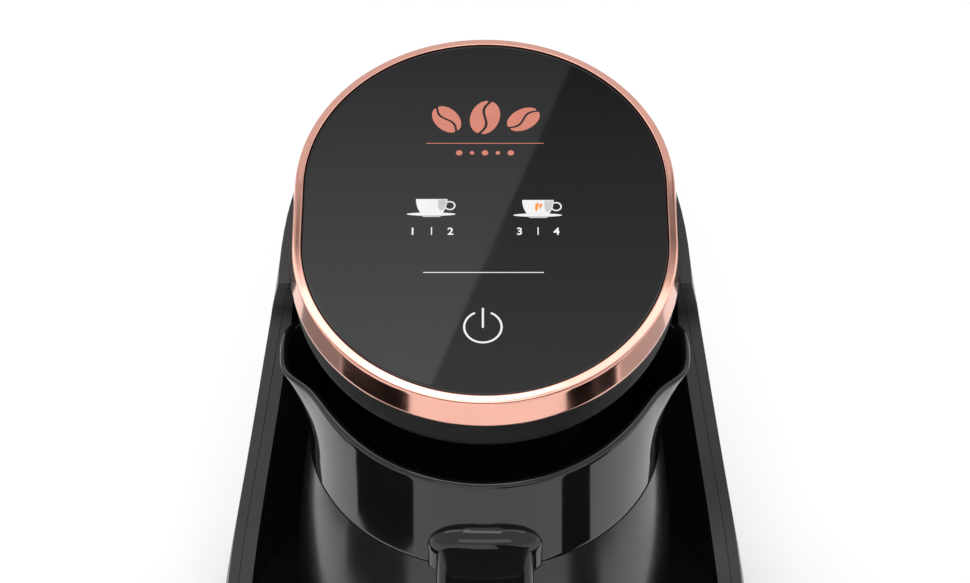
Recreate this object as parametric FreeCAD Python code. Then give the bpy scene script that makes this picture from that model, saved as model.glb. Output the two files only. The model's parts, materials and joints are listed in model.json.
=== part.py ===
"""Electric Turkish coffee maker: tilted touch panel, cordless pot and a housing with an open alcove.

Every solid is modelled about the pot's upright axis (x = 0, y = 0), with the front towards -Y. The export
at the end moves all of them back by pot_y, so that the origin lies on the table, under the middle of the whole.
"""
import FreeCAD
import Part
import math
import os

V = FreeCAD.Vector

# Driving dimensions, in millimetres and degrees

# Heights of the stack, from the table up
foot_height = 2.6
deck_z = 42.0
seat_depth = 1.4
slide_clear = 7.0
pot_height = 119.3
head_rise = 41.0

# Touch panel, rose gold ring and head
panel_tilt = 9.0
panel_back = 8.1
glass_radius = 45.0
glass_straight = 17.0
glass_thickness = 2.0
glass_gap = 0.25
ring_face = 1.45
ring_height = 8.6
ring_draft = 1.1
ring_proud = 0.25
ring_wall = 0.6
carrier_plate = 1.6
carrier_wall = 2.6
tub_inset = 0.7
tub_depth = 15.5
tub_wall = 2.0
tub_round = 9.0
tub_slim = 3.1
pad_radius = 2.0
sensor_y = -12.0
sensor_radius = 5.0
buzzer_radius = 6.0
buzzer_height = 5.5
header_y = 42.5

# Housing
shell_wall = 2.8
liner_wall = 1.8
lip_width = 3.2
deck_plate = 3.2
joint_gap = 0.12
head_gap = 0.3
widest_y = -3.0
housing_power = 2.3
alcove_power = 2.2
base_half_width = 76.0
base_back = 74.0
base_front = 64.0
alcove_back = 56.0
cover_thickness = 2.4
foot_radius = 7.0
foot_sink = 0.8

# Pot
pot_radius = 44.5
pot_flare = 7.0
pot_wall = 2.3
collar_height = 30.5
lap_height = 10.0
lap_wall = 1.2
spout_reach = 7.3
spout_angle = 13.5
rim_rise = 0.9
rim_round = 0.7
floor_rise = 21.0
base_ring = 2.4
element_radius = 27.0
element_tube = 3.2
element_angle = 320.0
connector_radius = 12.0
ring_thickness = 1.2

# Handle
handle_reach = 86.0
handle_width = 24.0
handle_thickness = 11.0
handle_bend = 17.0
handle_inner_bend = 9.0
handle_top = 18.5
handle_drop = 66.0
handle_taper = 4.0
lug_width = 30.0
lug_height = 15.5
lug_proud = 4.6
tongue_length = 11.0
tongue_width = 15.0
tongue_height = 5.0

# Contact socket in the base, and its sprung block
socket_radius = 15.0
socket_flange = 24.5
socket_depth = 17.0
block_radius = 11.0
block_fit = 0.06
pin_radius = 1.6
spring_wire = 1.1
spring_turns = 3.0

# Mains inlet
lead_radius = 3.6
gland_radius = 6.0
gland_proud = 0.8
gland_z = 20.0

# Fasteners, boards and small clearances
screw_radius = 1.5
screw_head = 2.8
screw_head_height = 1.6
screw_clear = 0.05
boss_wall = 2.2
board_thickness = 1.6
seat_gap = 0.1

# Heights and places worked out from them
seat_z = deck_z - seat_depth
pot_foot_z = seat_z + seat_gap
rim_z = pot_foot_z + pot_height
panel_z = rim_z + head_rise
collar_z = rim_z - collar_height
floor_z = pot_foot_z + floor_rise
housing_bottom = foot_height
cover_top = housing_bottom + cover_thickness
ring_top_radius = glass_radius + glass_gap + ring_face
ring_low_radius = ring_top_radius + ring_draft
ring_inside = ring_top_radius - ring_wall
ring_ledge = -(glass_thickness + 0.4)
carrier_low = -ring_height
carrier_radius = ring_inside - 0.1
board_top = carrier_low + board_thickness + 0.6
board_low = board_top - board_thickness
ring_back = panel_back + glass_straight / 2 + ring_low_radius + 0.7
tub_radius = ring_low_radius - tub_inset
tub_top = carrier_low - 0.05
tub_low = -(ring_height + tub_depth)
tub_slim_radius = tub_radius - tub_slim
shell_top = carrier_low - 0.15
boss_radius = screw_radius + boss_wall
back_most = base_back + gland_proud
pot_y = (handle_reach - back_most) / 2
lap_radius = pot_radius - pot_wall + lap_wall
shell_inset = shell_wall + joint_gap

# Outer form of the housing: height, half width, reach behind the pot's axis and reach in front of it
housing_sections = [
    (housing_bottom, base_half_width - 0.6, base_back - 0.6, base_front - 0.6),
    (deck_z * 0.45, base_half_width, base_back, base_front),
    (deck_z, base_half_width - 1.2, base_back - 0.8, base_front - 0.4),
    (deck_z + 30, base_half_width - 5.5, base_back - 2.5, base_front - 1),
    (deck_z + 60, base_half_width - 10.8, base_back - 4.2, base_front - 4),
    (rim_z - 8, base_half_width - 19.2, base_back - 6.6, base_front - 8),
    (panel_z - 12, ring_low_radius + 2.8, ring_back + 1.0, base_front - 11),
    (panel_z + 18, ring_low_radius + 1.6, ring_back - 0.5, base_front - 12),
]
# Alcove round the pot: height, how far inside the housing's half width, and how far forward of alcove_back
alcove_sections = [
    (deck_z, 6.4, 0.0),
    (deck_z + 30, 6.6, 0.4),
    (deck_z + 60, 6.2, 1.6),
    (rim_z - 8, 5.2, 5.6),
    (panel_z - 12, 4.6, 7.2),
    (panel_z + 18, 4.4, 7.8),
]
# Front edge of the side walls, seen from the side, from above the head down to the deck
lip_points = [
    (-12.0, panel_z + 24),
    (-8.5, panel_z + 2),
    (-5.0, panel_z - 11.6),
    (4.0, panel_z - 27),
    (11.5, rim_z + 1),
    (13.0, rim_z - 14),
    (12.0, rim_z - 34),
    (8.0, deck_z + 62),
    (1.0, deck_z + 44),
    (-10.0, deck_z + 28),
    (-26.0, deck_z + 13),
    (-44.0, deck_z + 3.6),
    (-60.0, deck_z),
]
# Icon windows in the panel's own frame: x, y, half width, half depth
icon_windows = [
    (-14.6, 4.0, 7.4, 4.6),
    (14.0, 4.0, 7.4, 4.6),
    (0.0, -16.6, 15.6, 1.6),
    (-0.3, -32.6, 6.0, 6.0),
]
touch_spots = [(-14.6, -4.6), (14.0, -4.6), (-0.3, -42.0)]
board_screw_spots = [(sx * 30.0, sy * 26.0) for sx in (-1, 1) for sy in (-1, 1)]
tub_screw_spots = [(-12.0, 41.7), (12.0, 41.7)]
foot_spots = [(sx * 50.0, y) for sx in (-1, 1) for y in (-26.0, 44.0)]
cover_screw_spots = [(-36.0, -40.0), (36.0, -40.0), (-62.0, 12.0), (62.0, 12.0)]
shell_screw_spots = [(-24.0, 74.0), (24.0, 74.0)]
vent_count, vent_z, vent_pitch, vent_height, vent_half_width = 6, 104.0, 9.0, 3.0, 16.0
power_board_box = (-40.0, 40.0, 26.0, 58.0)
power_connector_y = 54.5
power_board_z = cover_top + 6.0


# Helpers

def cylinder(radius, z0, z1, x=0.0, y=0.0):
    """An upright cylinder between two heights."""
    return Part.makeCylinder(radius, z1 - z0, V(x, y, z0))


def tube(outer, inner, z0, z1, x=0.0, y=0.0):
    """An upright ring between two heights."""
    return cylinder(outer, z0, z1, x, y).cut(cylinder(inner, z0 - 1, z1 + 1, x, y))


def block(x0, x1, y0, y1, z0, z1):
    """A box between two corners."""
    return Part.makeBox(x1 - x0, y1 - y0, z1 - z0, V(x0, y0, z0))


def fuse(shapes):
    """One solid from several that touch or overlap."""
    return shapes[0].multiFuse(shapes[1:]).removeSplitter()


def cut_all(shape, tools):
    """The shape without any of the tools."""
    for tool in tools:
        shape = shape.cut(tool)
    return shape


def biggest(shape):
    """The largest solid of a shape, without slivers."""
    return max(shape.Solids, key=lambda solid: solid.Volume)


def tilted(shape):
    """Carries a shape from the panel's own frame, z along its normal, to its place on the head."""
    result = shape.copy()
    result.rotate(V(0, 0, 0), V(1, 0, 0), panel_tilt)
    result.translate(V(0, panel_back, panel_z))
    return result


def below_panel(level, depth=400.0):
    """The space below a plane that lies parallel to the panel."""
    return tilted(Part.makeBox(400, 400, depth, V(-200, -200, level - depth)))


def edges_at(shape, z, tolerance=0.01):
    """The edges of a shape that lie in one level plane."""
    return [e for e in shape.Edges
            if abs(e.BoundBox.ZMin - z) < tolerance and abs(e.BoundBox.ZMax - z) < tolerance]


def stadium_wire(radius, z):
    """Two half circles joined by straight sides, in the panel's frame."""
    half = glass_straight / 2
    back = Part.Arc(V(radius, half, z), V(0, half + radius, z), V(-radius, half, z)).toShape()
    left = Part.makeLine(V(-radius, half, z), V(-radius, -half, z))
    front = Part.Arc(V(-radius, -half, z), V(0, -half - radius, z), V(radius, -half, z)).toShape()
    right = Part.makeLine(V(radius, -half, z), V(radius, half, z))
    return Part.Wire([back, left, front, right])


def stadium(radius, z0, z1):
    """A stadium-shaped plate between two heights of the panel's frame."""
    return Part.Face(stadium_wire(radius, z0)).extrude(V(0, 0, z1 - z0))


def closed_curve(points):
    """A smooth closed wire through the points."""
    curve = Part.BSplineCurve()
    curve.interpolate(Points=points, PeriodicFlag=True)
    return Part.Wire([curve.toShape()])


def oval_wire(z, half_width, back, front, power, centre_y, count=40):
    """A superellipse in plan, with its own reach behind and in front of its widest line."""
    points = []
    for i in range(count):
        angle = math.pi / 2 + 2 * math.pi * i / count
        c, s = math.cos(angle), math.sin(angle)
        reach = (back - centre_y) if s >= 0 else (front + centre_y)
        x = half_width * math.copysign(abs(c) ** (2 / power), c)
        y = centre_y + reach * math.copysign(abs(s) ** (2 / power), s)
        points.append(V(x, y, z))
    return closed_curve(points)


def housing_form(inset):
    """The housing's outer form as a solid, drawn in by the inset on every side."""
    wires = [oval_wire(z, half_width - inset, back - inset, front - inset, housing_power, widest_y)
             for z, half_width, back, front in housing_sections]
    return Part.makeLoft(wires, True, False)


def alcove_form(grow, floor):
    """The free space round the pot, grown by the liner's wall where that is wanted."""
    wires = []
    for (z, inside, forward), section in zip(alcove_sections, alcove_widths()):
        level = floor if z == deck_z else z
        wires.append(oval_wire(level, section - inside + grow, alcove_back - forward + grow, 130.0, alcove_power, 0.0))
    return Part.makeLoft(wires, True, False)


def alcove_widths():
    """The housing's half widths at the alcove's heights, which are its upper sections."""
    return [half_width for z, half_width, back, front in housing_sections if z >= deck_z]


def front_space(back_shift=0.0, drop=0.0):
    """Everything in front of the side walls' edges and above the deck."""
    curve = Part.BSplineCurve()
    curve.interpolate([V(0, y + back_shift, z - drop) for y, z in lip_points])
    top, end = curve.StartPoint, curve.EndPoint
    far = -200.0
    outline = Part.Wire([
        curve.toShape(),
        Part.makeLine(end, V(0, far, end.z)),
        Part.makeLine(V(0, far, end.z), V(0, far, top.z)),
        Part.makeLine(V(0, far, top.z), top),
    ])
    face = Part.Face(outline)
    face.translate(V(-120, 0, 0))
    return face.extrude(V(240, 0, 0))


def turned(points, smooth=()):
    """A solid turned about the upright axis from radius and height points.

    smooth lists the index ranges of the points that a curve runs through; the other steps are straight.
    """
    edges = []
    i = 0
    loop = points + [points[0]]
    starts = {first: last for first, last in smooth}
    while i < len(points):
        if i in starts:
            curve = Part.BSplineCurve()
            curve.interpolate([V(r, 0, z) for r, z in points[i:starts[i] + 1]])
            edges.append(curve.toShape())
            i = starts[i]
        else:
            edges.append(Part.makeLine(V(loop[i][0], 0, loop[i][1]), V(loop[i + 1][0], 0, loop[i + 1][1])))
            i += 1
    return Part.Face(Part.Wire(edges)).revolve(V(0, 0, 0), V(0, 0, 1), 360)


def ring_spots(count, radius, start):
    """Points spaced evenly on a circle about the pot's axis."""
    angles = [math.radians(start + 360.0 * i / count) for i in range(count)]
    return [(radius * math.cos(a), radius * math.sin(a)) for a in angles]


def screw(x, y, head_z, length, up):
    """A pan-head screw: its head's inner face lies at head_z and its shank runs up or down from there."""
    way = 1 if up else -1
    head_end = head_z - way * screw_head_height
    head = cylinder(screw_head, min(head_z, head_end), max(head_z, head_end), x, y)
    tip = head_z + way * length
    shank = cylinder(screw_radius, min(head_z, tip), max(head_z, tip), x, y)
    groove = block(x - screw_head, x + screw_head, y - 0.35, y + 0.35,
                   min(head_end, head_end + way * 0.7), max(head_end, head_end + way * 0.7))
    return fuse([head, shank]).cut(groove)


def pipe(points, radius, bend):
    """A round lead along straight runs joined by arcs, in the order of the points."""
    corners = [V(*p) for p in points]
    edges = []
    start = corners[0]
    for i in range(1, len(corners) - 1):
        a = (corners[i - 1] - corners[i]).normalize()
        b = (corners[i + 1] - corners[i]).normalize()
        half = math.acos(max(-1.0, min(1.0, a.dot(b)))) / 2
        reach = bend / math.tan(half)
        first, last = corners[i] + a * reach, corners[i] + b * reach
        middle = corners[i] + (a + b).normalize() * (bend / math.sin(half) - bend)
        edges.append(Part.makeLine(start, first))
        edges.append(Part.Arc(first, middle, last).toShape())
        start = last
    edges.append(Part.makeLine(start, corners[-1]))
    way = corners[1] - corners[0]
    circle = Part.Wire([Part.makeCircle(radius, corners[0], way)])
    return Part.Wire(edges).makePipeShell([circle], True, False)


# Head

def glass_panel():
    """Touch glass: a dark plate with a broken edge."""
    plate = stadium(glass_radius, -glass_thickness, 0.0)
    return tilted(plate.makeChamfer(0.3, edges_at(plate, 0.0)))


def trim_ring():
    """Rose gold ring: a narrow face round the glass and a band that widens downwards."""
    body = Part.makeLoft([stadium_wire(ring_low_radius, -ring_height), stadium_wire(ring_top_radius, ring_proud)],
                         True, True)
    body = body.makeFillet(0.3, edges_at(body, ring_proud))
    window = stadium(glass_radius + glass_gap, -ring_height - 1, ring_proud + 1)
    hollow = stadium(ring_inside, -ring_height - 1, ring_ledge)
    return tilted(body.cut(window).cut(hollow))


def panel_carrier():
    """Frame under the glass, with a window for each icon and a hole for each touch pad."""
    plate = fuse([stadium(carrier_radius, carrier_low, ring_ledge - 0.05),
                  stadium(glass_radius - 0.4, ring_ledge - 0.5, -glass_thickness)])
    plate = plate.cut(stadium(carrier_radius - carrier_wall, carrier_low - 1, -glass_thickness - carrier_plate))
    tools = [block(x - hx, x + hx, y - hy, y + hy, carrier_low - 1, 1) for x, y, hx, hy in icon_windows]
    tools += [cylinder(pad_radius + 0.15, carrier_low - 1, 1, x, y) for x, y in touch_spots]
    return tilted(cut_all(plate, tools))


def carrier_boss_ends():
    """Where the carrier's plate ends and the board's screws take hold."""
    return -glass_thickness - carrier_plate


def carrier_with_bosses():
    """The carrier with a screw boss down to the board at each corner."""
    bosses = [cylinder(boss_radius, board_top, carrier_boss_ends() + 0.2, x, y) for x, y in board_screw_spots]
    solid = fuse([panel_carrier()] + [tilted(b) for b in bosses])
    holes = [tilted(cylinder(screw_radius, board_top - 1, -glass_thickness - 0.4, x, y))
             for x, y in board_screw_spots]
    return cut_all(solid, holes)


def touch_board():
    """Circuit board behind the panel."""
    board = stadium(carrier_radius - carrier_wall - 0.3, board_low, board_top)
    holes = [cylinder(screw_radius + 0.1, board_low - 1, board_top + 1, x, y) for x, y in board_screw_spots]
    return tilted(cut_all(board, holes))


def board_screws():
    """Screws that hold the board up to the carrier."""
    length = -glass_thickness - 0.8 - board_low
    return [tilted(screw(x, y, board_low, length, True)) for x, y in board_screw_spots]


def light_boxes():
    """Open frames that keep each icon's light to itself."""
    boxes = []
    for x, y, hx, hy in icon_windows:
        outer = block(x - hx + 0.1, x + hx - 0.1, y - hy + 0.1, y + hy - 0.1, board_top, -glass_thickness)
        wall = 0.6
        inner = block(x - hx + wall, x + hx - wall, y - hy + wall, y + hy - wall, board_top - 1, 1)
        boxes.append(tilted(outer.cut(inner)))
    return boxes


def indicator_leds():
    """One small lamp in each light box."""
    return [tilted(block(x - 1.5, x + 1.5, y - 0.8, y + 0.8, board_top, board_top + 0.9))
            for x, y, hx, hy in icon_windows]


def touch_pads():
    """Conductive pads that reach from the board to the glass."""
    return [tilted(cylinder(pad_radius, board_top, -glass_thickness, x, y)) for x, y in touch_spots]


def buzzer():
    """Signal buzzer under the board."""
    can = cylinder(buzzer_radius, board_low - buzzer_height, board_low, 22.0, 0.0)
    port = cylinder(1.0, board_low - buzzer_height - 1, board_low - buzzer_height + 1.2, 22.0, 0.0)
    return tilted(can.cut(port))


def board_header():
    """Socket on the board's underside for the wire loom."""
    return tilted(block(-6, 6, header_y - 3, header_y + 3, board_low - 5.0, board_low))


def head_tub():
    """Black lower half of the head: full width in front, slimmer where it plugs into the housing."""
    full = stadium(tub_radius, tub_low, tub_top)
    full = tilted(full.makeFillet(tub_round, edges_at(full, tub_low)))
    skirt = stadium(tub_radius + 5, tub_low - 1, 2).cut(stadium(tub_slim_radius, tub_low - 2, 3))
    body = full.cut(tilted(skirt).cut(front_space(-head_gap)))
    tools = [tilted(stadium(tub_slim_radius - tub_wall, tub_low + tub_wall, 1.0))]
    tools.append(tilted(cylinder(sensor_radius + 0.1, tub_low - 1, tub_low + tub_wall + 1, 0, sensor_y)))
    for x, y in tub_screw_spots:
        tools.append(tilted(cylinder(screw_radius + screw_clear, tub_low - 1, tub_low + 9, x, y)))
    tools.append(tilted(block(-5.5, 5.5, header_y - 2.5, header_y + 2.5, tub_low - 1, tub_low + 6)))
    return biggest(cut_all(body, tools))


def tub_screws():
    """Screws that hold the head down to the housing."""
    return [tilted(screw(x, y, tub_low + tub_wall, tub_wall + 8.0, False)) for x, y in tub_screw_spots]


def foam_sensor():
    """Sensor that watches the coffee rise in the pot, on its own small board."""
    barrel = cylinder(sensor_radius - 1.3, tub_low + tub_wall, tub_low + 7.0, 0, sensor_y)
    board = block(-9, 9, sensor_y - 7, sensor_y + 7, tub_low + 7.0, tub_low + 8.2)
    legs = [cylinder(1.2, tub_low + tub_wall, tub_low + 7.5, sx * 7.6, sensor_y + sy * 5.6)
            for sx in (-1, 1) for sy in (-1, 1)]
    return tilted(fuse([barrel, board] + legs))


def sensor_window():
    """Clear lens in the head's underside, held by its flange."""
    lens = cylinder(sensor_radius, tub_low, tub_low + tub_wall, 0, sensor_y)
    flange = cylinder(sensor_radius + 1.2, tub_low + tub_wall, tub_low + tub_wall + 0.8, 0, sensor_y)
    bore = cylinder(sensor_radius - 1.0, tub_low + 1.2, tub_low + 5, 0, sensor_y)
    return tilted(fuse([lens, flange]).cut(bore))


# Housing

def gland_axis(radius, y0, y1):
    """A cylinder on the mains inlet's axis, between two depths."""
    return Part.makeCylinder(radius, y1 - y0, V(0, y0, gland_z), V(0, 1, 0))


def outer_shell():
    """Wrap-round casing: base front, sides and back in one moulding."""
    skin = housing_form(0.0).cut(housing_form(shell_wall))
    skin = skin.common(below_panel(shell_top)).cut(front_space())
    tools = []
    for x, z in shell_screw_spots:
        tools.append(Part.makeCylinder(screw_radius + screw_clear, 40, V(x, alcove_back, z), V(0, 1, 0)))
        tools.append(Part.makeCylinder(screw_head + 0.2, 20, V(x, shell_screw_seat(x, z), z), V(0, 1, 0)))
    tools.append(gland_axis(gland_radius + 0.1, alcove_back, base_back + 10))
    for i in range(vent_count):
        z = vent_z + vent_pitch * i
        tools.append(block(-vent_half_width, vent_half_width, alcove_back + 3, base_back + 10, z, z + vent_height))
    tools.append(pot_seat())
    return biggest(cut_all(skin, tools))


def pot_seat():
    """Shallow recess in the deck that the pot's foot stands in, open to the front."""
    radius = pot_foot_radius() + 0.8
    return fuse([cylinder(radius, seat_z, deck_z + 1),
                 block(-radius, radius, -base_front - 20, 0, seat_z, deck_z + slide_clear)])


def pot_foot_radius():
    """Largest radius of the pot near its foot."""
    return pot_radius + pot_flare


def front_liner():
    """Inner housing: the side walls' front edges, the alcove's wall and the deck that the pot stands on."""
    inner = housing_form(shell_inset)
    space = alcove_form(0.0, deck_z)
    opening = front_space()
    wall = alcove_form(liner_wall, deck_z - deck_plate).cut(space).cut(opening)
    edge = front_space(lip_width, deck_plate).cut(opening)
    lip = inner.common(edge).cut(space)
    solid = wall.fuse(lip).common(inner).common(below_panel(shell_top))
    solid = solid.cut(tilted(stadium(tub_slim_radius + head_gap, tub_low, 30.0)))
    return finish_liner(biggest(solid), inner, space)


def finish_liner(solid, inner, space):
    """Adds the liner's screw bosses and cuts its seat, holes and socket."""
    bosses = []
    holes = []
    for x, y in cover_screw_spots:
        bosses.append(cylinder(boss_radius, cover_top, deck_z - deck_plate + 0.5, x, y))
        holes.append(cylinder(screw_radius, cover_top - 1, cover_top + 12, x, y))
    for x, z in shell_screw_spots:
        bosses.append(Part.makeCylinder(boss_radius, 40, V(x, alcove_back - 12, z), V(0, 1, 0)).common(inner))
        holes.append(Part.makeCylinder(screw_radius, 60, V(x, alcove_back - 1.0, z), V(0, 1, 0)))
    for x, y in tub_screw_spots:
        bosses.append(tilted(cylinder(boss_radius, tub_low - 16, tub_low, x, y)))
        holes.append(tilted(cylinder(screw_radius, tub_low - 10, tub_low + 1, x, y)))
    for x, y in socket_screw_spots():
        bosses.append(cylinder(boss_radius, socket_flange_top(), deck_z - deck_plate + 0.5, x, y))
        holes.append(cylinder(screw_radius, socket_flange_top() - 1, socket_flange_top() + 4.8, x, y))
    for boss in bosses:
        solid = solid.fuse(boss.cut(space))
    holes.append(pot_seat())
    holes.append(cylinder(socket_radius + 0.1, deck_z - deck_plate - 1, deck_z + 1))
    return biggest(cut_all(solid, holes))


def bottom_cover():
    """Plate that closes the base, with foot pockets, air slots and posts for the power board."""
    plate = housing_form(shell_inset).common(block(-90, 90, -90, 90, housing_bottom, cover_top))
    posts = [cylinder(boss_radius, cover_top - 0.5, power_board_z, x, y) for x, y in power_board_spots()]
    plate = fuse([plate] + posts)
    tools = [cylinder(foot_radius + 0.05, housing_bottom - 1, housing_bottom + foot_sink, x, y)
             for x, y in foot_spots]
    for x, y in cover_screw_spots:
        tools.append(cylinder(screw_radius + screw_clear, housing_bottom - 1, cover_top + 1, x, y))
        tools.append(cylinder(screw_head + 0.2, housing_bottom - 1, housing_bottom + screw_head_height, x, y))
    tools += [cylinder(screw_radius, cover_top, power_board_z + 1, x, y) for x, y in power_board_spots()]
    tools += [cylinder(screw_radius, housing_bottom + 0.6, cover_top + 1, x, y) for x, y in clamp_screw_spots()]
    tools += [block(-14, 14, -22 + 6.0 * i, -19 + 6.0 * i, housing_bottom - 1, cover_top + 1) for i in range(5)]
    return cut_all(plate, tools)


def rubber_feet():
    """Feet set into the cover's pockets."""
    feet = []
    for x, y in foot_spots:
        foot = cylinder(foot_radius, 0.0, housing_bottom + foot_sink, x, y)
        feet.append(foot.makeFillet(0.8, edges_at(foot, 0.0)))
    return feet


def cover_screws():
    """Screws through the cover into the liner's bosses."""
    return [screw(x, y, housing_bottom + screw_head_height, 10.0, True) for x, y in cover_screw_spots]


def shell_back_y(z):
    """Where the middle of the shell's back lies at a height, between two of its sections."""
    below = max((s for s in housing_sections if s[0] <= z), key=lambda s: s[0])
    above = min((s for s in housing_sections if s[0] > z), key=lambda s: s[0])
    share = (z - below[0]) / (above[0] - below[0])
    return below[2] + share * (above[2] - below[2])


def shell_screw_seat(x, z):
    """Depth of a sunk screw head's seat in the back of the shell."""
    ray = Part.makeLine(V(x, alcove_back, z), V(x, base_back + 20, z)).common(housing_form(0.0))
    return ray.BoundBox.YMax - screw_head_height


def level_screw(x, y, z, length):
    """A screw that lies along Y, with its head's inner face at y and its tip towards the front."""
    one = screw(0, 0, 0, length, False)
    one.rotate(V(0, 0, 0), V(1, 0, 0), -90)
    one.translate(V(x, y, z))
    return one


def shell_screws():
    """Screws through the back of the shell into the liner."""
    return [level_screw(x, shell_screw_seat(x, z), z, 9.0) for x, z in shell_screw_spots]


# Power parts in the base

def power_board_spots():
    """Corner posts of the power board."""
    x0, x1, y0, y1 = power_board_box
    return [(x, y) for x in (x0 + 4, x1 - 4) for y in (y0 + 4, y1 - 10)]


def power_board():
    """Circuit board of the power supply."""
    x0, x1, y0, y1 = power_board_box
    board = block(x0, x1, y0, y1, power_board_z, power_board_z + board_thickness)
    notch = [block(s * x1 - 14, s * x1 + 14, y1 - 7, y1 + 1, power_board_z - 1, power_board_z + 3) for s in (-1, 1)]
    holes = [cylinder(screw_radius + 0.1, power_board_z - 1, power_board_z + 3, x, y)
             for x, y in power_board_spots()]
    return cut_all(board, notch + holes)


def power_board_screws():
    """Screws that hold the power board to its posts."""
    return [screw(x, y, power_board_z + board_thickness, board_thickness + 4.5, False)
            for x, y in power_board_spots()]


def power_board_parts():
    """Relay, transformer, line capacitor and connector on the power board."""
    z = power_board_z + board_thickness
    relay = block(-30, -16, 38, 52, z, z + 15)
    transformer = block(12, 28, 36, 52, z, z + 14)
    capacitor = cylinder(4.0, z, z + 13, 33.5, 40.0)
    connector = block(-6, 6, power_connector_y - 3.5, power_connector_y + 3.5, z, z + 7)
    return [relay, transformer, capacitor, connector]


def terminal_block():
    """Screw terminal where the mains lead's cores end."""
    z = power_board_z + board_thickness
    body = block(-9, 9, 30, 42, z, z + 9)
    ways = [Part.makeCylinder(2.0, 8, V(x, 35, z + 4), V(0, 1, 0)) for x in (-5, 0, 5)]
    drivers = [cylinder(1.6, z + 5, z + 10, x, 38.5) for x in (-5, 0, 5)]
    return cut_all(body, ways + drivers)


def cord_gland():
    """Flanged bush that lines the mains inlet."""
    inner = shell_back_y(gland_z) - shell_wall
    barrel = gland_axis(gland_radius, inner - 6, back_most)
    flange = gland_axis(gland_radius + 2.0, inner - 2.9, inner - 0.4)
    return fuse([barrel, flange]).cut(gland_axis(lead_radius, inner - 20, back_most + 1))


def cord_clamp():
    """Bridge on the cover that grips the mains lead's sheath, just inside the gland."""
    y0, y1 = clamp_depth()
    bridge = block(-13, 13, y0, y1, cover_top, gland_z + lead_radius + 3)
    side = [block(s * 13 - 6.5, s * 13 + 6.5, y0 - 1, y1 + 1, cover_top + 3, gland_z + 20) for s in (-1, 1)]
    holes = [cylinder(screw_radius + screw_clear, cover_top - 1, cover_top + 9, x, y)
             for x, y in clamp_screw_spots()]
    return cut_all(bridge, side + [gland_axis(lead_radius, y0 - 1, y1 + 1)] + holes)


def clamp_depth():
    """Front and back of the lead clamp."""
    back = shell_back_y(gland_z) - shell_wall - 6.3
    return back - 6.0, back


def clamp_screw_spots():
    """Places of the clamp's two screws."""
    y0, y1 = clamp_depth()
    return [(-10.0, (y0 + y1) / 2), (10.0, (y0 + y1) / 2)]


def clamp_screws():
    """Screws that hold the lead clamp to the cover."""
    return [screw(x, y, cover_top + 3, 4.5, False) for x, y in clamp_screw_spots()]


def wire_loom():
    """Loom from the touch board, down behind the alcove, to the power board."""
    tilt = math.radians(panel_tilt)
    top, bend = [(0.0, panel_back + header_y * math.cos(tilt) - depth * math.sin(tilt),
                  panel_z + header_y * math.sin(tilt) + depth * math.cos(tilt))
                 for depth in (board_low - 5.0, tub_low - 8.0)]
    end_z = power_board_z + board_thickness + 7
    back = alcove_back + liner_wall + 4.8
    under = power_connector_y
    route = [top, bend, (0.0, back, deck_z + 50), (0.0, back, deck_z - 5), (0.0, under, deck_z - 13.5),
             (0.0, under, end_z)]
    return pipe(route, 1.9, 6.0)


# Contact socket and its sprung block

def socket_flange_top():
    """Where the socket's flange meets its bosses."""
    return deck_z - deck_plate - 4.0


def socket_screw_spots():
    """Screws round the socket."""
    return ring_spots(3, (socket_radius + socket_flange) / 2, 90.0)


def contact_socket():
    """Cup under the deck that carries the contact block and its spring."""
    low = seat_z - socket_depth
    body = cylinder(socket_radius, low, seat_z)
    top = socket_flange_top()
    flange = cylinder(socket_flange, top - 2.4, top)
    bore = cylinder(block_radius + block_fit, low + 2.0, seat_z + 1)
    chamber = cylinder(block_radius + 1.9, low + 2.0, seat_z - 2.6)
    holes = [cylinder(screw_radius + screw_clear, top - 5, top + 1, x, y) for x, y in socket_screw_spots()]
    holes.append(cylinder(4.0, low - 1, low + 3))
    return cut_all(fuse([body, flange]), [bore, chamber] + holes)


def socket_screws():
    """Screws that hold the socket to the deck's bosses."""
    return [screw(x, y, socket_flange_top() - 2.4, 2.4 + 4.5, True) for x, y in socket_screw_spots()]


def block_top():
    """The contact block's face, just under the pot's foot."""
    return pot_foot_z - 0.03


def block_skirt():
    """Underside of the contact block, where its spring presses."""
    return seat_z - 2.6 - 0.1 - 2.2


def contact_block():
    """Plunger that lifts the contact pins against the pot."""
    body = cylinder(block_radius, block_skirt(), block_top())
    flange = cylinder(block_radius + 1.5, block_skirt(), block_skirt() + 2.2)
    holes = [cylinder(pin_radius, block_skirt() - 1, block_top() + 1, x, y) for x, y in pin_spots()]
    return cut_all(fuse([body, flange]), holes)


def pin_spots():
    """Contact pins: one in the middle and one under each of the pot's rings."""
    return [(0.0, 0.0), (5.2, 0.0), (-8.6, 0.0)]


def contact_pins():
    """Brass pins in the contact block, flush with its face."""
    return [cylinder(pin_radius, block_skirt() - 3.0, block_top(), x, y) for x, y in pin_spots()]


def contact_spring():
    """Coil spring under the contact block."""
    low = seat_z - socket_depth + 2.0 + spring_wire / 2
    high = block_skirt() - spring_wire / 2
    radius = block_radius + 0.6
    pitch = (high - low) / spring_turns
    path = Part.makeLongHelix(pitch, high - low, radius)
    path.translate(V(0, 0, low))
    along = V(0, radius, pitch / (2 * math.pi))
    circle = Part.Wire([Part.makeCircle(spring_wire / 2, V(radius, 0, low), along)])
    return Part.Wire(path).makePipeShell([circle], True, True)


# Pot

def pot_outer(z):
    """The pot's outer radius at a height below the collar."""
    share = (collar_z - z) / (collar_z - pot_foot_z)
    return pot_radius + 1.2 + (pot_flare - 1.2) * math.sin(math.pi / 2 * min(1.0, share / 0.85)) ** 0.9


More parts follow.
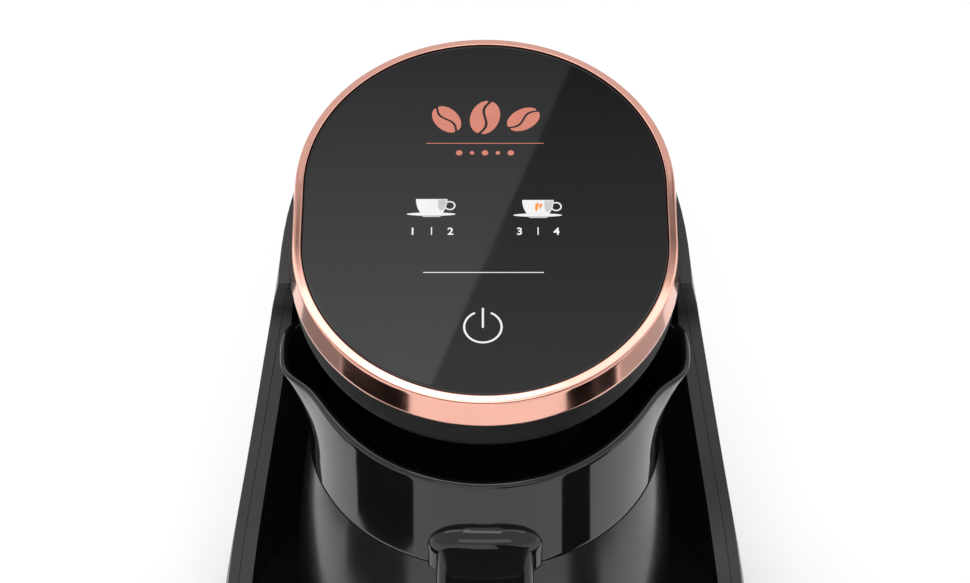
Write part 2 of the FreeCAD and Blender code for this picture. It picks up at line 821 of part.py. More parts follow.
def pot_body():
    """Lower pot: a flared jug wall with a neck that slides up inside the collar."""
    foot = pot_foot_z + base_ring * 0.5
    heights = [foot + 3.0 + (collar_z - foot - 3.0) * i / 8 for i in range(9)]
    outside = [(pot_outer(foot + 3.0) - 0.9, foot)] + [(pot_outer(z), z) for z in heights]
    neck = [(lap_radius - 0.05, collar_z), (lap_radius - 0.05, collar_z + lap_height - 0.1),
            (pot_radius - pot_wall, collar_z + lap_height - 0.1)]
    inside = [(pot_radius - pot_wall, collar_z - 2)]
    inside += [(pot_outer(z) - pot_wall, z) for z in reversed(heights[1:-1]) if z > floor_z + 8]
    inside.append((pot_outer(floor_z) - pot_wall, floor_z + 1.0))
    ledge = [(plate_radius(), floor_z + 1.0), (plate_radius(), floor_z - 0.9), (plate_radius() - 2.6, floor_z - 0.9),
             (plate_radius() - 2.6, floor_z - 4.0), (pot_outer(floor_z) - pot_wall - 0.4, floor_z - 4.0),
             (pot_outer(foot + 3.0) - pot_wall - 0.9, foot)]
    points = outside + neck + inside + ledge
    first = len(outside) + len(neck)
    body = turned(points, [(1, len(outside) - 1), (first, first + len(inside) - 1)])
    lugs = []
    for x, y in pot_screw_spots():
        lugs.append(cylinder(boss_radius, cover_disc_top(), floor_z - 3.5, x, y))
    body = fuse([body] + [lug.common(cylinder(pot_foot_radius() - 1.5, 0, 200)) for lug in lugs])
    return cut_all(body, [cylinder(screw_radius, cover_disc_top() - 1, cover_disc_top() + 9, x, y)
                          for x, y in pot_screw_spots()])


def plate_radius():
    """Radius of the recess for the heater plate."""
    return pot_foot_radius() - pot_wall - 2.4


def cover_disc_top():
    """Inner face of the pot's base cover."""
    return pot_foot_z + base_ring


def pot_screw_spots():
    """Screws that hold the base cover to the pot."""
    return ring_spots(3, pot_foot_radius() - pot_wall - boss_radius - 0.8, 90.0)


def spout_share(angle):
    """How much of the spout's reach stands out at an angle from its middle, from one to nothing."""
    ratio = abs(angle) / math.radians(spout_angle)
    lip = 1.0 / (1.0 + ratio ** 5)
    skirt = math.cos(min(math.pi / 2, ratio * 0.52)) ** 2
    return 0.87 * lip + 0.13 * skirt


def collar_wire(z, inset):
    """Plan outline of the collar at a height, with a spout at each side."""
    rise = max(0.0, (z - collar_z) / collar_height)
    reach = spout_reach * max(0.0, (rise - 0.28) / 0.72) ** 1.5
    base = pot_radius + 1.1 * (1 - min(1.0, rise)) - inset
    points = []
    for i in range(96):
        angle = 2 * math.pi * i / 96 + math.pi / 2
        near = math.asin(math.sin(angle)) if math.cos(angle) >= 0 else math.asin(-math.sin(angle))
        radius = base + reach * spout_share(near)
        points.append(V(radius * math.cos(angle), radius * math.sin(angle), z))
    return closed_curve(points)


def collar_form(inset, low, high):
    """Solid between two heights with the collar's outline."""
    levels = [collar_z + collar_height * s for s in (0.28, 0.40, 0.52, 0.66, 0.82)]
    levels = [low] + [z for z in levels if low < z < high] + [high]
    return Part.makeLoft([collar_wire(z, inset) for z in levels], True, False)


def rim_saddle():
    """Space above the rim, which rises gently towards the two spouts."""
    reach = pot_radius + spout_reach
    radius = (reach * reach + rim_rise * rim_rise) / (2 * rim_rise)
    return Part.makeCylinder(radius, 240, V(0, -120, rim_z + radius), V(0, 1, 0))


def pot_collar():
    """Upper pot: glossy collar with two spouts and the lug that carries the handle."""
    outer = collar_form(0.0, collar_z, rim_z + 3)
    lug = handle_lug()
    inner = collar_form(pot_wall, collar_z - 3, rim_z + 6)
    lap = cylinder(lap_radius, collar_z - 3, collar_z + lap_height)
    body = outer.cut(rim_saddle())
    body = fuse([body, lug]).cut(inner).cut(lap).fuse(handle_tongue(0.0))
    holes = [cylinder(screw_radius, tongue_low() - 1, tongue_low() + tongue_height - 0.6, x, y)
             for x, y in handle_screw_spots()]
    return biggest(cut_all(body, holes))


def handle_lug():
    """Arched boss on the collar's front."""
    half = lug_width / 2
    top = collar_z + lug_height
    arch = 9.0
    outline = Part.Wire([
        Part.makeLine(V(-half, 0, collar_z), V(half, 0, collar_z)),
        Part.makeLine(V(half, 0, collar_z), V(half, 0, top - arch)),
        Part.Arc(V(half, 0, top - arch), V(half - arch * 0.293, 0, top - arch * 0.293), V(half - arch, 0, top)).toShape(),
        Part.makeLine(V(half - arch, 0, top), V(-half + arch, 0, top)),
        Part.Arc(V(-half + arch, 0, top), V(-half + arch * 0.293, 0, top - arch * 0.293),
                 V(-half, 0, top - arch)).toShape(),
        Part.makeLine(V(-half, 0, top - arch), V(-half, 0, collar_z)),
    ])
    lug = Part.Face(outline).extrude(V(0, -pot_radius - 12, 0))
    drum = cylinder(pot_radius + lug_proud, collar_z - 5, rim_z)
    return lug.common(drum)


def tongue_low():
    """Underside of the tongue on the lug, inside the handle's root."""
    return rim_z - handle_top - handle_thickness + 3.6


def handle_tongue(grow):
    """Tongue on the lug that the handle's root slides over, grown for the handle's pocket."""
    face = -(pot_radius + lug_proud)
    half = tongue_width / 2 + grow
    return block(-half, half, face - tongue_length - grow, face + 1.5, tongue_low() - grow,
                 tongue_low() + tongue_height + grow)


def handle_screw_spots():
    """Screws up through the handle's root into the tongue."""
    y = -(pot_radius + lug_proud) - tongue_length / 2
    return [(-3.8, y), (3.8, y)]


def handle_side():
    """Side outline of the handle as a face in the plane x = 0, from its root to its free end."""
    top = rim_z - handle_top
    low = top - handle_drop
    out = -handle_reach
    r1 = handle_bend
    r2 = handle_inner_bend
    thick = handle_thickness
    root = -(pot_radius + lug_proud - 0.4)
    inner_y = out + thick
    s = math.sqrt(0.5)
    tip_out, tip_in = out + handle_taper, inner_y + handle_taper - 1.5
    edges = [
        Part.makeLine(V(0, root, top), V(0, out + r1, top)),
        Part.Arc(V(0, out + r1, top), V(0, out + r1 - r1 * s, top - r1 + r1 * s), V(0, out, top - r1)).toShape(),
        Part.makeLine(V(0, out, top - r1), V(0, tip_out, low + 4)),
        Part.Arc(V(0, tip_out, low + 4), V(0, (tip_out + tip_in) / 2, low), V(0, tip_in, low + 4)).toShape(),
        Part.makeLine(V(0, tip_in, low + 4), V(0, inner_y, top - thick - r2)),
        Part.Arc(V(0, inner_y, top - thick - r2), V(0, inner_y + r2 - r2 * s, top - thick - r2 + r2 * s),
                 V(0, inner_y + r2, top - thick)).toShape(),
        Part.makeLine(V(0, inner_y + r2, top - thick), V(0, root, top - thick)),
        Part.makeLine(V(0, root, top - thick), V(0, root, top)),
    ]
    return Part.Face(Part.Wire(edges))


def handle_form():
    """The whole handle with its long edges rounded."""
    face = handle_side()
    face.translate(V(-handle_width / 2, 0, 0))
    solid = face.extrude(V(handle_width, 0, 0))
    root = -(pot_radius + lug_proud - 0.4)
    long_edges = [e for e in solid.Edges
                  if abs(abs(e.CenterOfMass.x) - handle_width / 2) < 0.01 and e.CenterOfMass.y < root - 0.1]
    return solid.makeFillet(3.6, long_edges)


def handle_cover_form(grow):
    """Insert on the handle's inner side, grown for its pocket."""
    half = handle_width / 2 - 5.0 + grow
    low = rim_z - handle_top - handle_drop + 10 - grow
    high = rim_z - handle_top - handle_thickness - handle_bend + 4 + grow
    return block(-half, half, -handle_reach + handle_thickness - 3.0 - grow, -handle_reach + handle_thickness + 6,
                 low, high)


def pot_handle():
    """Grip that leaves the lug, turns down and ends free."""
    lug = cylinder(pot_radius + lug_proud, collar_z - 20, rim_z)
    solid = handle_form().cut(lug).cut(handle_cover_form(joint_gap)).cut(handle_tongue(joint_gap))
    low = rim_z - handle_top - handle_thickness
    tools = []
    for x, y in handle_screw_spots():
        tools.append(cylinder(screw_radius + screw_clear, low - 1, tongue_low() + 1, x, y))
        tools.append(cylinder(screw_head + 0.2, low - 1, low + screw_head_height + 0.1, x, y))
    tools += [Part.makeCylinder(screw_radius, 8, V(0, -handle_reach + 4.5, z), V(0, 1, 0))
              for z in cover_screw_heights()]
    return biggest(cut_all(solid, tools))


def handle_cover():
    """Closing strip on the handle's inner side."""
    strip = handle_form().common(handle_cover_form(0.0))
    tools = []
    for z in cover_screw_heights():
        tools.append(Part.makeCylinder(screw_radius + screw_clear, 20, V(0, -handle_reach + 4, z), V(0, 1, 0)))
        tools.append(Part.makeCylinder(screw_head + 0.2, 20, V(0, cover_screw_y(), z), V(0, 1, 0)))
    return biggest(cut_all(strip, tools))


def cover_screw_heights():
    """Heights of the screws in the handle's strip."""
    top = rim_z - handle_top
    return [top - handle_drop + 18, top - handle_thickness - handle_bend - 6]


def cover_screw_y():
    """Seat of the strip's screw heads."""
    return -handle_reach + handle_thickness - 1.4


def handle_screws():
    """Screws of the handle: two up into the tongue and two in the strip."""
    screws = []
    for x, y in handle_screw_spots():
        screws.append(screw(x, y, rim_z - handle_top - handle_thickness + screw_head_height + 0.1, 5.8, True))
    for z in cover_screw_heights():
        screws.append(level_screw(0, cover_screw_y(), z, 5.0))
    return screws


def pot_seal():
    """Silicone ring under the heater plate's edge."""
    return tube(plate_radius() - 0.1, plate_radius() - 2.4, floor_z - 0.9, floor_z - 0.3)


def heater_plate():
    """Steel floor of the pot."""
    plate = cylinder(plate_radius() - 0.1, floor_z - 0.3, floor_z + 0.9)
    return plate.makeChamfer(0.3, edges_at(plate, floor_z + 0.9))


def element_ends():
    """Places of the heating element's two terminals."""
    swept = math.radians(element_angle)
    return [(element_radius, 0.0), (element_radius * math.cos(swept), element_radius * math.sin(swept))]


def heating_element():
    """Tubular heating element against the underside of the plate, with its two terminals."""
    level = floor_z - 0.3 - element_tube
    coil = Part.makeTorus(element_radius, element_tube, V(0, 0, level), V(0, 0, 1), 0, 360, element_angle)
    ends = [cylinder(1.6, level - 8.0, level, x, y) for x, y in element_ends()]
    return fuse([coil] + ends)


def temperature_sensor():
    """Round thermostat in the middle of the plate's underside."""
    level = floor_z - 0.3
    return fuse([cylinder(7.0, level - 3.0, level), cylinder(5.0, level - 6.5, level)])


def thermal_fuse():
    """Thermal fuse against the plate, with its two wires bent down."""
    level = floor_z - 0.3 - 2.0
    body = Part.makeCylinder(2.0, 12.0, V(-6.0, 15.0, level), V(1, 0, 0))
    wires = [cylinder(0.6, level - 5.0, level, x, 15.0) for x in (-5.0, 5.0)]
    return fuse([body] + wires)


def pot_connector():
    """Insulating disc of the pot's connector, held inside the base cover by its flange."""
    disc = cylinder(connector_radius, pot_foot_z, cover_disc_top())
    flange = cylinder(connector_radius + 2.5, cover_disc_top(), cover_disc_top() + 3.0)
    return cut_all(fuse([disc, flange]), connector_metal())


def connector_metal():
    """The centre stud and the two contact rings."""
    high = pot_foot_z + ring_thickness
    return [cylinder(2.2, pot_foot_z, high), tube(6.2, 4.2, pot_foot_z, high), tube(9.6, 7.6, pot_foot_z, high)]


def pot_base_cover():
    """Disc that closes the pot from below and forms its foot."""
    disc = cylinder(base_cover_radius(), pot_foot_z, cover_disc_top())
    disc = disc.makeChamfer(0.8, edges_at(disc, pot_foot_z))
    tools = [cylinder(connector_radius + 0.05, pot_foot_z - 1, cover_disc_top() + 1)]
    for x, y in pot_screw_spots():
        tools.append(cylinder(screw_radius + screw_clear, pot_foot_z - 1, cover_disc_top() + 1, x, y))
        tools.append(cylinder(screw_head + 0.2, pot_foot_z - 1, pot_foot_z + screw_head_height, x, y))
    return cut_all(disc, tools)


def base_cover_radius():
    """Radius of the base cover, inside the pot's skirt."""
    return pot_outer(pot_foot_z + base_ring * 0.5 + 3.0) - pot_wall - 0.9 - joint_gap


def pot_base_screws():
    """Screws through the base cover into the pot's lugs."""
    return [screw(x, y, pot_foot_z + screw_head_height, 8.5, True) for x, y in pot_screw_spots()]


def pot_leads():
    """Leads from the element's terminals to the connector."""
    low = cover_disc_top() + 3.0
    high = floor_z - 0.3 - element_tube - 8.0
    leads = []
    for (x, y), inner in zip(element_ends(), ((8.0, -3.0), (8.0, 3.0))):
        route = [(inner[0], inner[1], low), (inner[0], inner[1], high - 2.0), (x, y, high - 2.0), (x, y, high)]
        leads.append(pipe(route, 0.9, 1.8))
    return leads


parts = {
    "glass_panel": glass_panel,
    "trim_ring": trim_ring,
    "panel_carrier": carrier_with_bosses,
    "touch_board": touch_board,
    "board_screws": board_screws,
    "light_boxes": light_boxes,
    "indicator_leds": indicator_leds,
    "touch_pads": touch_pads,
    "buzzer": buzzer,
    "board_header": board_header,
    "head_tub": head_tub,
    "tub_screws": tub_screws,
    "foam_sensor": foam_sensor,
    "sensor_window": sensor_window,
    "outer_shell": outer_shell,
    "front_liner": front_liner,
    "bottom_cover": bottom_cover,
    "rubber_feet": rubber_feet,
    "cover_screws": cover_screws,
    "shell_screws": shell_screws,
    "power_board": power_board,
    "power_board_screws": power_board_screws,
    "power_board_parts": power_board_parts,
    "terminal_block": terminal_block,
    "cord_gland": cord_gland,
    "cord_clamp": cord_clamp,
    "clamp_screws": clamp_screws,
    "wire_loom": wire_loom,
    "contact_socket": contact_socket,
    "socket_screws": socket_screws,
    "contact_block": contact_block,
    "contact_pins": contact_pins,
    "contact_spring": contact_spring,
    "pot_body": pot_body,
    "pot_collar": pot_collar,
    "pot_handle": pot_handle,
    "handle_cover": handle_cover,
    "handle_screws": handle_screws,
    "pot_seal": pot_seal,
    "heater_plate": heater_plate,
    "heating_element": heating_element,
    "temperature_sensor": temperature_sensor,
    "thermal_fuse": thermal_fuse,
    "pot_connector": pot_connector,
    "pot_contact_rings": connector_metal,
    "pot_leads": pot_leads,
    "pot_base_cover": pot_base_cover,
    "pot_base_screws": pot_base_screws,
}


def export():
    """Writes one STEP file per named piece."""
    os.makedirs("parts", exist_ok=True)
    for name, make in parts.items():
        solids = make()
        shape = Part.makeCompound(solids) if isinstance(solids, list) else solids
        shape.translate(V(0, pot_y, 0))
        shape.exportStep("parts/" + name + ".step")
        count = len(shape.Solids)
        print(name, count, "valid" if shape.isValid() else "INVALID", round(shape.Volume, 1))


export()
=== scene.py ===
"""Looks of the electric Turkish coffee maker: finishes, detailed pieces, touch marks and studio.

The detailed pieces are the touch glass, the bevelled trim, the glossy pot collar with its boss and the contact coil.
"""
import bpy
import json
import math
from mathutils import Matrix, Vector


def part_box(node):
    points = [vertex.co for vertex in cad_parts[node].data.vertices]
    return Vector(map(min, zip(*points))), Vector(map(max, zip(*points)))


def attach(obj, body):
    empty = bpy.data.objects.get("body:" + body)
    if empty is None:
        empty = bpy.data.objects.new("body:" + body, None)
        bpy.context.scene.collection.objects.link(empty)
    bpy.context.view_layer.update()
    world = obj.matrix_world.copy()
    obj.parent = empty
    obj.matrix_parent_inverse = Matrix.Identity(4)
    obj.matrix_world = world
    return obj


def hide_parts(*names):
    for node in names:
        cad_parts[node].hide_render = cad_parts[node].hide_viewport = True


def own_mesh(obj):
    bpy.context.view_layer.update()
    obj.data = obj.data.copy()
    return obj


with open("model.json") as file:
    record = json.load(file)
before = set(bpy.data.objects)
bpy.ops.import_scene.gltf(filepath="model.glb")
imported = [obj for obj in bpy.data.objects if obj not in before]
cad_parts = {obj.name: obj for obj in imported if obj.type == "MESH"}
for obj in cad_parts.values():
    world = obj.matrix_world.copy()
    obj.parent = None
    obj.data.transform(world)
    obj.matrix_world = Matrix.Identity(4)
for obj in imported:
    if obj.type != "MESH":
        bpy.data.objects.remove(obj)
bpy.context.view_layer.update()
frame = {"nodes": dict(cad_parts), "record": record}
nodes = frame["nodes"]

# Sizes in millimetres and degrees, as the construction has them
mm = 0.001
panel_tilt = 9.0
panel_back = 8.1
panel_z = 201.0
glass_radius = 44.5
glass_straight = 17.0
glass_thickness = 2.0
ring_inner_radius = 44.7
ring_top_radius = 46.7
ring_low_radius = 47.8
ring_height = 8.6
ring_proud = 0.25
ring_wall = 0.6
pot_radius = 44.5
pot_wall = 2.3
pot_skirt = 1.1
collar_z = 129.5
collar_height = 30.5
lap_radius = 43.4
lap_height = 10.0
spout_reach = 7.3
spout_angle = 13.5
rim_rise = 0.9
lug_half_width = 15.3
lug_height = 15.5
lug_proud = 4.6
lug_arch = 8.2
lug_arch_wide = 12.6
spring_wire = 1.1
spring_turns = 3.0

# The pot's axis, read from the lower pot, which is round about it
body_low, body_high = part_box("pot_body")
pot_y = (body_low.y + body_high.y) / 2 / mm

# Colours, in linear light
black_gloss = (0.0045, 0.0045, 0.0050)
black_satin = (0.0110, 0.0110, 0.0118)
black_inner = (0.0075, 0.0075, 0.0080)
glass_tint = (0.0040, 0.0040, 0.0048)
rose = (0.84, 0.44, 0.355)
mark_white = (0.48, 0.48, 0.48)
mark_shade = (0.34, 0.34, 0.35)
mark_rose = (0.42, 0.145, 0.105)
ember = (0.60, 0.20, 0.04)
steel_grey = (0.56, 0.56, 0.57)
zinc_grey = (0.42, 0.42, 0.44)
brass_yellow = (0.72, 0.50, 0.20)
board_green = (0.012, 0.085, 0.035)
silicone_red = (0.36, 0.05, 0.03)
ivory = (0.72, 0.71, 0.66)


# Materials

def node(tree, kind, **values):
    """A shader node with its input sockets set by name."""
    made = tree.nodes.new(kind)
    for name, value in values.items():
        made.inputs[name.replace("_", " ")].default_value = value
    return made


def noise(tree, size, detail=3.0, stretch=None):
    """A noise pattern whose features measure the given millimetres."""
    coords = tree.nodes.new("ShaderNodeTexCoord")
    source = coords.outputs["Object"]
    if stretch:
        mapping = node(tree, "ShaderNodeMapping", Scale=stretch)
        tree.links.new(source, mapping.inputs["Vector"])
        source = mapping.outputs["Vector"]
    pattern = node(tree, "ShaderNodeTexNoise", Scale=1.0 / (size * mm), Detail=detail)
    tree.links.new(source, pattern.inputs["Vector"])
    return pattern.outputs["Fac"]


def ranged(tree, source, low, high, start=0.3, end=0.7):
    """The pattern's middle range stretched between two values."""
    fit = node(tree, "ShaderNodeMapRange", From_Min=start, From_Max=end, To_Min=low, To_Max=high)
    tree.links.new(source, fit.inputs["Value"])
    return fit.outputs["Result"]


def between(tree, source, low, high):
    """A colour that the pattern moves between two shades."""
    mix = tree.nodes.new("ShaderNodeMix")
    mix.data_type = "RGBA"
    mix.inputs["A"].default_value = (*low, 1.0)
    mix.inputs["B"].default_value = (*high, 1.0)
    tree.links.new(source, mix.inputs["Factor"])
    return mix.outputs["Result"]


def surface(name, colour, rough, mottle=0.08, patch=18.0, grain=0.35, height=0.0015, metallic=0.0,
            stretch=None, coat=0.0, specular=0.5, glow=0.0):
    """A finish: mottled colour and roughness over patches, and a fine grain as bump; a given glow is painted light in
    the finish's own colour.
    """
    made = bpy.data.materials.new(name)
    made.use_nodes = True
    tree = made.node_tree
    shader = tree.nodes["Principled BSDF"]
    shader.inputs["Metallic"].default_value = metallic
    shader.inputs["Specular IOR Level"].default_value = specular
    shader.inputs["Coat Weight"].default_value = coat
    shader.inputs["Coat Roughness"].default_value = 0.05
    patches = noise(tree, patch)
    darker = [c * (1 - mottle) for c in colour]
    lighter = [min(1.0, c * (1 + mottle)) for c in colour]
    tree.links.new(between(tree, ranged(tree, patches, 0.0, 1.0), darker, lighter), shader.inputs["Base Color"])
    low, high = rough
    tree.links.new(ranged(tree, noise(tree, patch * 0.6, stretch=stretch), low, high), shader.inputs["Roughness"])
    bump = node(tree, "ShaderNodeBump", Strength=1.0, Distance=height * mm)
    tree.links.new(noise(tree, grain, detail=2.0, stretch=stretch), bump.inputs["Height"])
    tree.links.new(bump.outputs["Normal"], shader.inputs["Normal"])
    # Painted light: the finish glows in its own colour.
    if glow:
        shader.inputs["Emission Color"].default_value = (*colour, 1.0)
        shader.inputs["Emission Strength"].default_value = glow
    return made


def board_finish():
    """Circuit board: green resist with a network of lighter traces."""
    made = surface("circuit board", board_green, (0.25, 0.40))
    tree = made.node_tree
    shader = tree.nodes["Principled BSDF"]
    coords = tree.nodes.new("ShaderNodeTexCoord")
    cells = node(tree, "ShaderNodeTexVoronoi", Scale=1.0 / (3.5 * mm))
    cells.distance = "CHEBYCHEV"
    cells.feature = "F1"
    tree.links.new(coords.outputs["Object"], cells.inputs["Vector"])
    traces = ranged(tree, cells.outputs["Distance"], 0.0, 1.0, 0.50, 0.56)
    tree.links.new(between(tree, traces, board_green, (0.03, 0.17, 0.07)), shader.inputs["Base Color"])
    return made


finishes = {
    "panel_glass": surface("touch glass", glass_tint, (0.015, 0.035), grain=30.0, height=0.0, patch=40.0),
    "rose_gold": surface("rose gold", rose, (0.09, 0.13), metallic=1.0, mottle=0.03, grain=0.5, height=0.0004),
    "gloss_black": surface("gloss black", black_gloss, (0.045, 0.085), grain=9.0, height=0.010, patch=30.0),
    "body_black": surface("polished black", black_gloss, (0.16, 0.22), grain=7.0, height=0.010, patch=24.0),
    "satin_black": surface("satin black", black_satin, (0.34, 0.42), grain=0.45, height=0.006, patch=22.0),
    # Painted shade: a black darker and duller than the others, for the head's tub and the trim's groove, which lie in
    # shade.
    "painted_shade_black": surface("shaded black", (0.0036, 0.0036, 0.0039), (0.50, 0.60), grain=0.5, height=0.006,
                            specular=0.10),
    "inner_black": surface("plain black", black_inner, (0.42, 0.55), grain=0.6, height=0.010),
    "white_plastic": surface("white plastic", ivory, (0.38, 0.50), grain=0.6, height=0.006),
    "board_green": board_finish(),
    "component": surface("component case", (0.02, 0.02, 0.022), (0.35, 0.55), patch=6.0),
    "lamp": surface("lamp body", (0.80, 0.78, 0.68), (0.08, 0.15), patch=3.0, coat=0.5),
    "lens": surface("smoked lens", (0.015, 0.012, 0.018), (0.02, 0.05), patch=5.0, coat=1.0),
    "steel": surface("brushed steel", steel_grey, (0.20, 0.34), metallic=1.0, grain=0.5, height=0.003,
                     stretch=(1.0, 14.0, 14.0)),
    "dark_steel": surface("darkened steel", (0.16, 0.16, 0.165), (0.35, 0.50), metallic=1.0, grain=0.5, height=0.003),
    "screw_steel": surface("zinc plate", zinc_grey, (0.24, 0.40), metallic=1.0, patch=3.0, grain=0.3, height=0.002),
    "brass": surface("contact brass", brass_yellow, (0.16, 0.30), metallic=1.0, patch=3.0, grain=0.3, height=0.001),
    "rubber": surface("black rubber", (0.018, 0.018, 0.018), (0.62, 0.78), grain=0.5, height=0.020, specular=0.35),
    "silicone": surface("red silicone", silicone_red, (0.45, 0.60), grain=0.8, height=0.006, specular=0.4),
    "lead": surface("insulated wire", (0.030, 0.030, 0.032), (0.40, 0.52), patch=4.0, grain=0.6, height=0.010),
    # The prints glow a little: painted light that brightens them.
    "mark": surface("white print", mark_white, (0.30, 0.40), mottle=0.02, patch=4.0, specular=0.1, glow=0.35),
    "mark_grey": surface("grey print", mark_shade, (0.30, 0.40), patch=4.0, specular=0.1, glow=0.25),
    "mark_ember": surface("ember print", ember, (0.30, 0.40), mottle=0.25, patch=0.6, specular=0.1, glow=0.20),
    "mark_rose": surface("rose print", mark_rose, (0.30, 0.40), mottle=0.05, patch=3.0, specular=0.2, glow=0.12),
}
slots = {part["node"]: part["material_slot"] for part in frame["record"]["subparts"]}


def dress(thing, finish):
    """Gives a piece one finish."""
    thing.data.materials.clear()
    thing.data.materials.append(finishes[finish])


# Meshes

def panel_matrix():
    """Carries the panel's own frame, z along its normal, to its place on the head."""
    place = Matrix.Translation(Vector((0, panel_back + pot_y, panel_z)))
    return place @ Matrix.Rotation(math.radians(panel_tilt), 4, "X")


def make_mesh(name, points, faces, place=Matrix.Identity(4), smooth=True):
    """An object from points in millimetres."""
    mesh = bpy.data.meshes.new(name)
    mesh.from_pydata([place @ Vector(p) * mm for p in points], [], faces)
    mesh.validate()
    if smooth:
        mesh.shade_smooth()
    made = bpy.data.objects.new(name, mesh)
    bpy.context.collection.objects.link(made)
    return made


def skin(name, loops, ring=False, place=Matrix.Identity(4), caps=True):
    """A closed skin through loops of points; ring joins the last loop to the first, otherwise flat ends close it."""
    count = len(loops[0])
    points = [p for loop in loops for p in loop]
    faces = []
    for i in range(len(loops) if ring else len(loops) - 1):
        a, b = i * count, (i + 1) % len(loops) * count
        faces += [(a + j, a + (j + 1) % count, b + (j + 1) % count, b + j) for j in range(count)]
    if caps and not ring:
        faces.append(tuple(reversed(range(count))))
        faces.append(tuple(range(len(points) - count, len(points))))
    return make_mesh(name, points, faces, place)


def stadium(radius, z, steps=72):
    """A stadium-shaped loop in the panel's frame."""
    loop = []
    for centre, start in ((glass_straight / 2, 0.0), (-glass_straight / 2, math.pi)):
        for i in range(steps + 1):
            angle = start + math.pi * i / steps
            loop.append((radius * math.cos(angle), centre + radius * math.sin(angle), z))
    return loop


def arc(radius, angle0, angle1, steps):
    """Offsets along an arc, as pairs."""
    angles = [math.radians(angle0 + (angle1 - angle0) * i / steps) for i in range(steps + 1)]
    return [(radius * math.cos(a), radius * math.sin(a)) for a in angles]


def rounded(corner, radius, angle0, angle1, steps=5):
    """Points of a round about a corner's centre."""
    return [(corner[0] + r, corner[1] + z) for r, z in arc(radius, angle0, angle1, steps)]


# Head

def touch_glass():
    """Black glass with a ground and polished edge."""
    edge = 0.35
    profile = [(glass_radius - 0.1, -glass_thickness)]
    profile += rounded((glass_radius - 0.03 - edge, -edge), edge, 0, 90, 6)
    profile.append((glass_radius - edge - 0.5, 0.0))
    return skin("touch_glass", [stadium(r, z) for r, z in profile], place=panel_matrix())


def trim():
    """Rose gold trim: a crowned bevel, a fine shadow groove and the band that widens below it."""
    lip_r, bevel_r = ring_inner_radius, ring_top_radius - 0.05
    groove_z, groove_depth, groove_width = -0.32, 0.30, 0.30
    profile = [(lip_r, -1.2), (lip_r, ring_proud - 0.16)]
    profile += [(lip_r + 0.06, ring_proud - 0.05), (lip_r + 0.2, ring_proud), (lip_r + 0.34, ring_proud - 0.04)]
    profile += [(lip_r + 0.34 + (bevel_r - lip_r - 0.5) * s, ring_proud - 0.04 - 0.42 * s) for s in (0.3, 0.6, 0.9)]
    profile += [(bevel_r - 0.04, groove_z + 0.12), (bevel_r, groove_z + 0.05), (bevel_r, groove_z)]
    profile += [(bevel_r - groove_depth, groove_z - 0.04), (bevel_r - groove_depth, groove_z - groove_width)]
    slope = (ring_low_radius - ring_top_radius) / ring_height
    top = groove_z - groove_width
    band_top = ring_top_radius + slope * -top
    profile += [(band_top - 0.2, top), (band_top - 0.05, top - 0.05), (band_top, top - 0.2)]
    low = -ring_height
    profile += [(band_top + (ring_low_radius - band_top) * s, top - 0.2 + (low + 0.3 - top) * s)
                for s in (0.1, 0.35, 0.65, 0.92)]
    profile += [(ring_low_radius, low + 0.1), (ring_low_radius - 0.12, low)]
    profile += [(ring_top_radius - ring_wall, low), (ring_top_radius - ring_wall, -2.4), (lip_r, -2.4)]
    return skin("trim_band", [stadium(r, z) for r, z in profile], ring=True, place=panel_matrix())


def painted_shadow_line():
    """Black line between the bevel and the band, just inside both: painted shadow, a black ring that stands in for
    the shade in the groove.
    """
    radius = ring_top_radius - 0.12
    profile = [(radius, -0.30), (radius, -0.66), (radius - 0.3, -0.66), (radius - 0.3, -0.30)]
    return skin("painted_shadow_line", [stadium(r, z) for r, z in profile], ring=True, place=panel_matrix())


# Pot

def spout_share(angle):
    """How much of the spout's reach stands out at an angle from its middle, from one to nothing."""
    ratio = abs(angle) / math.radians(spout_angle)
    return 0.87 / (1.0 + ratio ** 5) + 0.13 * math.cos(min(math.pi / 2, ratio * 0.52)) ** 2


def collar_radius(angle, z, inset):
    """The collar's radius at an angle from +X and a height."""
    rise = max(0.0, (z - collar_z) / collar_height)
    reach = spout_reach * max(0.0, (rise - 0.28) / 0.72) ** 1.5
    near = math.asin(abs(math.sin(angle)))
    return pot_radius + pot_skirt * (1 - min(1.0, rise)) - inset + reach * spout_share(near)


def rim_height(x):
    """The rim's height, which rises gently towards the spouts."""
    reach = pot_radius + spout_reach
    bow = (reach * reach + rim_rise * rim_rise) / (2 * rim_rise)
    return collar_z + collar_height + x * x / (2 * bow)


def collar():
    """Glossy upper pot: outer wall, rounded rim and inner wall in one skin."""
    count, levels = 288, 30
    spin = [2 * math.pi * i / count for i in range(count)]
    rim_round = pot_wall / 2
    bevel = 0.35

    def loop(share, inset, drop=0.0):
        """The wall at a share of its height, drawn in by the inset and lifted by the drop."""
        made = []
        for angle in spin:
            full = collar_radius(angle, collar_z + collar_height, 0.0)
            top = rim_height(full * math.cos(angle)) - rim_round
            z = collar_z + (top - collar_z) * share + drop
            r = collar_radius(angle, min(z, collar_z + collar_height), inset)
            made.append((r * math.cos(angle), pot_y + r * math.sin(angle), z))
        return made

    def ring(radius, z):
        """A round loop about the pot's axis."""
        return [(radius * math.cos(a), pot_y + radius * math.sin(a), z) for a in spin]

    outer = [loop(0.0, bevel), loop(0.0, bevel * 0.3, bevel * 0.3), loop(0.0, 0.0, bevel)]
    outer += [loop(s / levels, 0.0) for s in range(1, levels + 1)]
    outer += [loop(1.0, rim_round - out, up) for out, up in arc(rim_round, 0, 180, 10)[1:-1]]
    inner = [loop(1.0 - s / levels, pot_wall) for s in range(levels)]
    inner = [made for made in inner if made[0][2] > collar_z + lap_height + 1]
    lap = [ring(pot_radius - pot_wall, collar_z + lap_height + 0.1), ring(lap_radius, collar_z + lap_height),
           ring(lap_radius, collar_z)]
    return skin("pot_collar_gloss", outer + inner + lap, ring=True)


